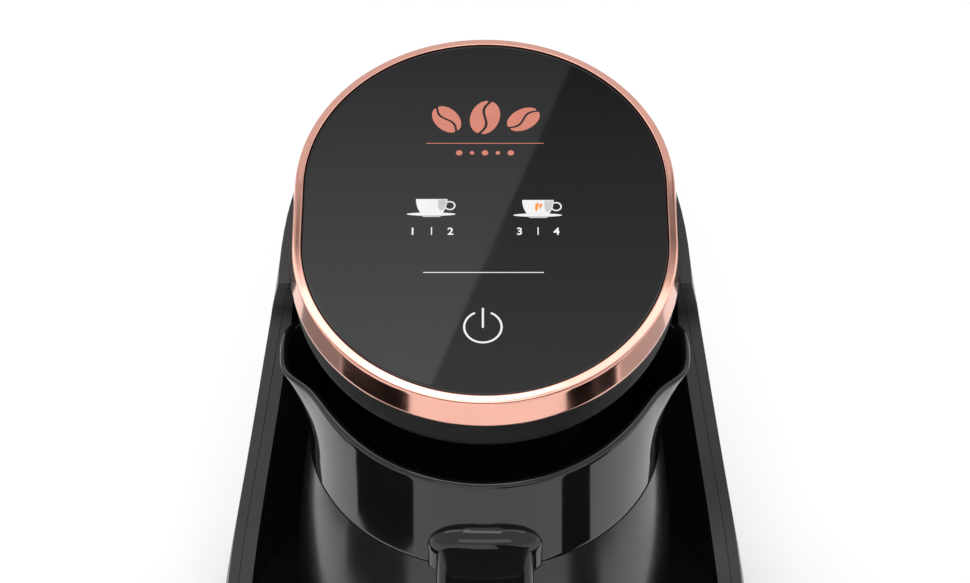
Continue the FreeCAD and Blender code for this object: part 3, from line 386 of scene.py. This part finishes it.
def lug_outline(inset, steps=16):
    """The arched boss seen from the front, drawn in by the inset."""
    half, top = lug_half_width - inset, collar_z + lug_height - inset
    radius, wide_radius = max(lug_arch - inset, 0.6), max(lug_arch_wide - inset, 0.6)
    low = collar_z + min(inset, 1.6) * 0.5
    outline = []
    for centre, start in ((half - wide_radius, 0.0), (wide_radius - half, 90.0)):
        corner = arc(1.0, start, start + 90, steps)
        outline += [(centre + x * wide_radius, top - radius + z * radius) for x, z in corner]
    side, wide = 8, 10
    outline += [(-half, top - radius + (low - top + radius) * i / side) for i in range(1, side + 1)]
    outline += [(-half + 2 * half * i / wide, low) for i in range(1, wide)]
    outline += [(half, low + (top - radius - low) * i / side) for i in range(side)]
    return outline


def lug():
    """Soft arched boss that carries the handle on the collar's front."""
    soft_across, crown = 7.0, 7.6
    turns = [math.radians(a) for a in range(0, 91, 9)]
    steps = [(-0.35, 0.0)] + [(math.sin(t) ** 0.9, soft_across * (1 - math.cos(t))) for t in turns] + [(1.0, crown)]
    loops = []
    for share, inset in steps:
        loop = []
        for x, z in lug_outline(inset):
            angle = math.asin(x / (pot_radius + lug_proud))
            wall = collar_radius(-math.pi / 2, z, 0.0) - 0.15
            r = wall + (pot_radius + lug_proud - wall) * share
            loop.append((r * math.sin(angle), pot_y - r * math.cos(angle), z))
        loops.append(loop)
    return skin("pot_lug", loops)


# Base

def contact_coil():
    """Round-wire coil under the contact block, within the construction's own box."""
    low, high = (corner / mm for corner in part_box("contact_spring"))
    wire, middle_y = spring_wire / 2, (low.y + high.y) / 2
    radius = (high.x - low.x) / 2 - wire
    rise = high.z - low.z - 2 * wire
    steps = 180
    loops = []
    for i in range(steps + 1):
        turn = 2 * math.pi * spring_turns * i / steps
        z = low.z + wire + rise * i / steps
        loops.append([((radius + out) * math.cos(turn), middle_y + (radius + out) * math.sin(turn), z + up)
                      for out, up in arc(wire, 0, 360, 16)[:-1]])
    return skin("contact_coil", loops)


# Touch marks, drawn in the panel's frame

def flat(name, outline, finish, height=0.05, rise=0.0, holes=()):
    """A thin printed mark with the given outline on the glass."""
    curve = bpy.data.curves.new(name, "CURVE")
    curve.dimensions = "2D"
    curve.fill_mode = "BOTH"
    curve.extrude = height / 2 * mm
    for points in [outline, *holes]:
        spline = curve.splines.new("POLY")
        spline.points.add(len(points) - 1)
        for point, (x, y) in zip(spline.points, points):
            point.co = (x * mm, y * mm, 0.0, 1.0)
        spline.use_cyclic_u = True
    return settle(name, curve, finish, rise + height / 2)


def settle(name, curve, finish, lift):
    """Turns a curve or text into a mesh lying on the glass."""
    source = bpy.data.objects.new(name + "_source", curve)
    bpy.context.collection.objects.link(source)
    bpy.context.view_layer.update()
    mesh = bpy.data.meshes.new_from_object(source)
    bpy.data.objects.remove(source)
    place = panel_matrix()
    place.translation *= mm
    mesh.transform(place @ Matrix.Translation(Vector((0, 0, lift * mm))))
    mesh.name = name
    made = bpy.data.objects.new(name, mesh)
    bpy.context.collection.objects.link(made)
    dress(made, finish)
    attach(made, "machine")
    return made


def ellipse(x, y, rx, ry, start=0.0, end=360.0, steps=48):
    """Points along an ellipse."""
    angles = [math.radians(start + (end - start) * i / steps) for i in range(steps + (end - start < 360))]
    return [(x + rx * math.cos(a), y + ry * math.sin(a)) for a in angles]


def stroke(centre, radius, width, start, end):
    """A band along an arc."""
    outside = ellipse(*centre, radius + width / 2, radius + width / 2, start, end)
    inside = ellipse(*centre, radius - width / 2, radius - width / 2, start, end)
    return outside + inside[::-1]


def cup_mark(name, x, y):
    """A cup on its saucer, with a shaded side; x and y are the middle of the cup's rim."""
    half, foot, deep = 3.85, 2.75, 4.15
    side = [(half - (half - foot) * share ** 2.2, -deep * share) for share in (0.0, 0.2, 0.4, 0.6, 0.8, 0.92, 1.0)]
    bowl = [(x - dx, y + dy) for dx, dy in side] + [(x + dx, y + dy) for dx, dy in reversed(side)]
    flat(name + "_bowl", bowl, "mark")
    shade = [(x + 1.55, y - 0.2), (x + 3.6, y - 0.2)] + [(x + dx - 0.25, y + dy) for dx, dy in side[2:5]]
    flat(name + "_shade", shade + [(x + 2.1, y - 3.6), (x + 1.6, y - 2.6)], "mark_grey", rise=0.05, height=0.02)
    flat(name + "_ear", stroke((x + 4.45, y - 2.0), 1.2, 0.36, -155, 155), "mark")
    flat(name + "_saucer", ellipse(x - 0.1, y - 4.6, 5.95, 0.50), "mark")
    flat(name + "_foot", [(x - 2.7, y - 5.0), (x + 2.7, y - 5.0), (x + 1.9, y - 5.45), (x - 1.9, y - 5.45)],
         "mark_grey")


def number(name, text, x, y, size=3.0):
    """A numeral, centred on its place."""
    curve = bpy.data.curves.new(name, "FONT")
    curve.body = text
    curve.size = size * mm
    curve.align_x = "CENTER"
    curve.offset = 0.06 * mm
    curve.extrude = 0.02 * mm
    made = settle(name, curve, "mark", 0.03)
    move = panel_matrix().to_3x3() @ Vector((x, y, 0.0)) * mm
    made.data.transform(Matrix.Translation(move))
    return made


def bar(name, x, y, half_width, half_height, finish="mark"):
    """A straight mark with rounded ends."""
    end = min(half_width, half_height)
    if half_width > half_height:
        outline = ellipse(x + half_width - end, y, end, end, -90, 90, 10)
        outline += ellipse(x - half_width + end, y, end, end, 90, 270, 10)
    else:
        outline = ellipse(x, y + half_height - end, end, end, 0, 180, 10)
        outline += ellipse(x, y - half_height + end, end, end, 180, 360, 10)
    return flat(name, outline, finish)


def power_mark(x, y):
    """Broken circle with a bar."""
    flat("power_circle", stroke((x, y), 4.45, 0.50, 115, 425), "mark")
    bar("power_bar", x, y + 2.6, 0.25, 2.9)


def bean(name, x, y, lean, size):
    """A coffee bean in two halves either side of its curved split."""
    c, d = math.cos(math.radians(lean)), math.sin(math.radians(lean))
    split = [(0.16 * math.sin(math.pi * s / 12), -0.93 + 1.86 * s / 24) for s in range(25)]
    gap = 0.065
    for side, start, end in ((1, 79, -79), (-1, 101, 259)):
        half = [(px + side * gap, py) for px, py in split] + ellipse(0, 0, 0.68, 1.0, start, end, 24)
        flat(f"{name}_{'right' if side > 0 else 'left'}",
             [(x + size * (c * px - d * py), y + size * (d * px + c * py)) for px, py in half], "mark_rose")


def ornament(y):
    """Three plain coffee beans over a fine line and a row of dots, all in rose gold."""
    bean("bean_middle", 0.0, y, -14, 5.4)
    bean("bean_west", -9.6, y - 0.6, 34, 4.6)
    bean("bean_east", 9.6, y - 0.6, -52, 4.6)
    bar("bean_line", 0.0, y - 8.2, 14.6, 0.10, "mark_rose")
    for i in range(5):
        x = (i - 2) * 3.2
        flat(f"dot_{i + 1}", ellipse(x, y - 11.2, 0.55 if i % 2 else 0.8, 0.55 if i % 2 else 0.8), "mark_rose")


def marks():
    """Every mark on the touch glass."""
    cup_mark("cup_one", -13.05, 4.1)
    cup_mark("cup_two", 12.95, 3.8)
    for name, x, y in (("tall", 12.5, 1.9), ("short", 13.5, 2.1)):
        leaf = [(0.0, -1.7), (0.45, -0.6), (0.75, 0.5), (0.35, 1.2), (-0.15, 0.5), (-0.3, -0.6)]
        size = 1.0 if name == "tall" else 0.7
        flat("ember_" + name, [(x + size * px, y + size * py) for px, py in leaf], "mark_ember", rise=0.05,
             height=0.02)
    for name, digit, x in (("one", "1", -17.6), ("two", "2", -8.4), ("three", "3", 8.4), ("four", "4", 17.4)):
        number("number_" + name, digit, x, -6.7)
    for name, x in (("left", -13.0), ("right", 12.9)):
        bar("divider_" + name, x, -5.6, 0.14, 1.15)
    bar("separator", -0.36, -17.95, 14.55, 0.11)
    power_mark(-0.5, -33.8)
    ornament(29.6)


# Dressing the construction

for name, thing in nodes.items():
    finish = slots[name]
    if name in ("pot_body", "pot_base_cover"):
        finish = "body_black"
    # Painted shade: the head's tub takes the darker, duller black for the shade under the head.
    if name == "head_tub":
        finish = "painted_shade_black"
    if name == "heater_plate":
        finish = "dark_steel"
    dress(thing, finish)

for build, finish, node_name, body in ((touch_glass, "panel_glass", "glass_panel", "machine"),
                                       (trim, "rose_gold", "trim_ring", "machine"),
                                       (painted_shadow_line, "painted_shade_black", "trim_ring", "machine"),
                                       (collar, "gloss_black", "pot_collar", "pot"),
                                       (lug, "gloss_black", "pot_collar", "pot"),
                                       (contact_coil, "steel", "contact_spring", "machine")):
    piece = build()
    dress(piece, finish)
    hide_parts(node_name)
    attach(piece, body)
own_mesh(bpy.data.objects["contact_coil"])
marks()
# The gloss in front of the handle shows the room, not the handle
for name in ("pot_handle", "handle_cover", "handle_screws"):
    nodes[name].visible_glossy = False


# Studio

def plane(name, corners, colour, glow=None, near=None, far=None):
    """A flat card or floor; a glowing one may brighten along Y from near to far."""
    card = make_mesh(name, corners, [tuple(range(len(corners)))], smooth=False)
    paint = bpy.data.materials.new(name)
    paint.use_nodes = True
    tree = paint.node_tree
    shader = tree.nodes["Principled BSDF"]
    shader.inputs["Base Color"].default_value = (*colour, 1.0)
    shader.inputs["Roughness"].default_value = 0.9
    shader.inputs["Specular IOR Level"].default_value = 0.0
    if glow:
        shader.inputs["Emission Color"].default_value = (1.0, 1.0, 1.0, 1.0)
        coords = tree.nodes.new("ShaderNodeTexCoord")
        split = tree.nodes.new("ShaderNodeSeparateXYZ")
        tree.links.new(coords.outputs["Object"], split.inputs["Vector"])
        strength = ranged(tree, split.outputs["Y"], glow[0], glow[1], near * mm, far * mm)
        tree.links.new(strength, shader.inputs["Emission Strength"])
    card.data.materials.append(paint)
    return card


def only_reflected(card):
    """Hides a card from everything but reflections."""
    card.visible_camera = False
    card.visible_diffuse = False
    card.visible_shadow = False
    card.visible_transmission = False


def softbox(name, place, aim, width, height, radiance, seen):
    """A soft lamp of the given brightness; seen tells whether glossy surfaces mirror it."""
    lamp = bpy.data.lights.new(name, "AREA")
    lamp.shape = "RECTANGLE"
    lamp.size, lamp.size_y = width, height
    lamp.energy = radiance * math.pi * width * height
    made = bpy.data.objects.new(name, lamp)
    made.location = place
    made.rotation_euler = (Vector(aim) - Vector(place)).to_track_quat("-Z", "Y").to_euler()
    made.visible_glossy = seen
    bpy.context.collection.objects.link(made)
    return made


def level(outline, z):
    """Lays an outline flat at a height."""
    return [(x, y, z) for x, y in outline]


far = 4000.0
plane("floor", level([(-far, -far), (far, -far), (far, far), (-far, far)], 0), (0.80, 0.80, 0.80))

# Cards over the head, seen only in the touch glass; the bright one's slanted end draws the sheen's edge
card_z, card_near, card_far = 1100.0, 340, 650
glow_near, glow_far = 363, 602
bright_outline = [(-620, card_near), (-43, card_near), (78, card_far), (-620, card_far)]
bright_card = plane("bright_card", level(bright_outline, card_z), (0, 0, 0), glow=(1.65, 0.42), near=glow_near,
                    far=glow_far)
dim_outline = [(-700, card_near), (700, card_near), (700, card_far), (-700, card_far)]
dim_card = plane("dim_card", level(dim_outline, card_z + 10), (0, 0, 0), glow=(0.78, 0.12), near=glow_near,
                 far=glow_far)

# Dark patches on the floor, seen only in the pot's collar and the trim: name, height, grey and outline
flags = [plane(name, level(outline, z), (grey, grey, grey)) for name, z, grey, outline in (
    ("flag_left", 0.5, 0.0, [(-107, -122), (-172, -180), (-265, -8), (-155, -27)]),
    ("flag_left_rear", 0.6, 0.22, [(-184, -16), (-300, -5), (-330, 170), (-168, 116)]),
    ("flag_right", 0.5, 0.0, [(57, -67), (185, -175), (262, -40), (194, -48), (178, -84), (74, -45)]),
    ("flag_right_rear", 0.6, 0.40, [(200, -40), (330, -20), (330, 170), (184, 100)]),
    ("flag_right_front", 0.5, 0.05, [(48, -270), (48, -1300), (300, -1300), (300, -270)]),
)]
for card in (bright_card, dim_card, *flags):
    only_reflected(card)

softbox("near_light", (0.0, -0.95, 1.05), (0.0, 0.0, 0.12), 0.6, 0.6, 5.0, False)
softbox("top_light", (-0.1, -0.35, 1.6), (0.0, 0.0, 0.1), 1.0, 0.6, 2.4, True)
softbox("left_light", (-0.9, 0.35, 1.6), (0.0, 0.0, 0.2), 0.8, 1.6, 1.7, True)
softbox("right_light", (0.9, 0.35, 1.6), (0.0, 0.0, 0.2), 0.8, 1.6, 1.15, True)
softbox("front_light", (0.0, -1.5, 0.45), (0.0, 0.0, 0.15), 1.5, 0.45, 1.0, True)

world = bpy.data.worlds.new("studio")
world.use_nodes = True
world.node_tree.nodes["Background"].inputs["Color"].default_value = (1.0, 1.0, 1.0, 1.0)
world.node_tree.nodes["Background"].inputs["Strength"].default_value = 0.80
bpy.context.scene.world = world
bpy.context.scene.view_settings.view_transform = "Standard"

eye = bpy.data.cameras.new("camera")
eye.lens = 105.0
eye.sensor_width = 36.0
camera = bpy.data.objects.new("camera", eye)
camera.location = (0.0, -0.480, 0.6845)
camera.rotation_euler = (math.radians(44.0), 0.0, 0.0)
bpy.context.collection.objects.link(camera)
bpy.context.scene.camera = camera
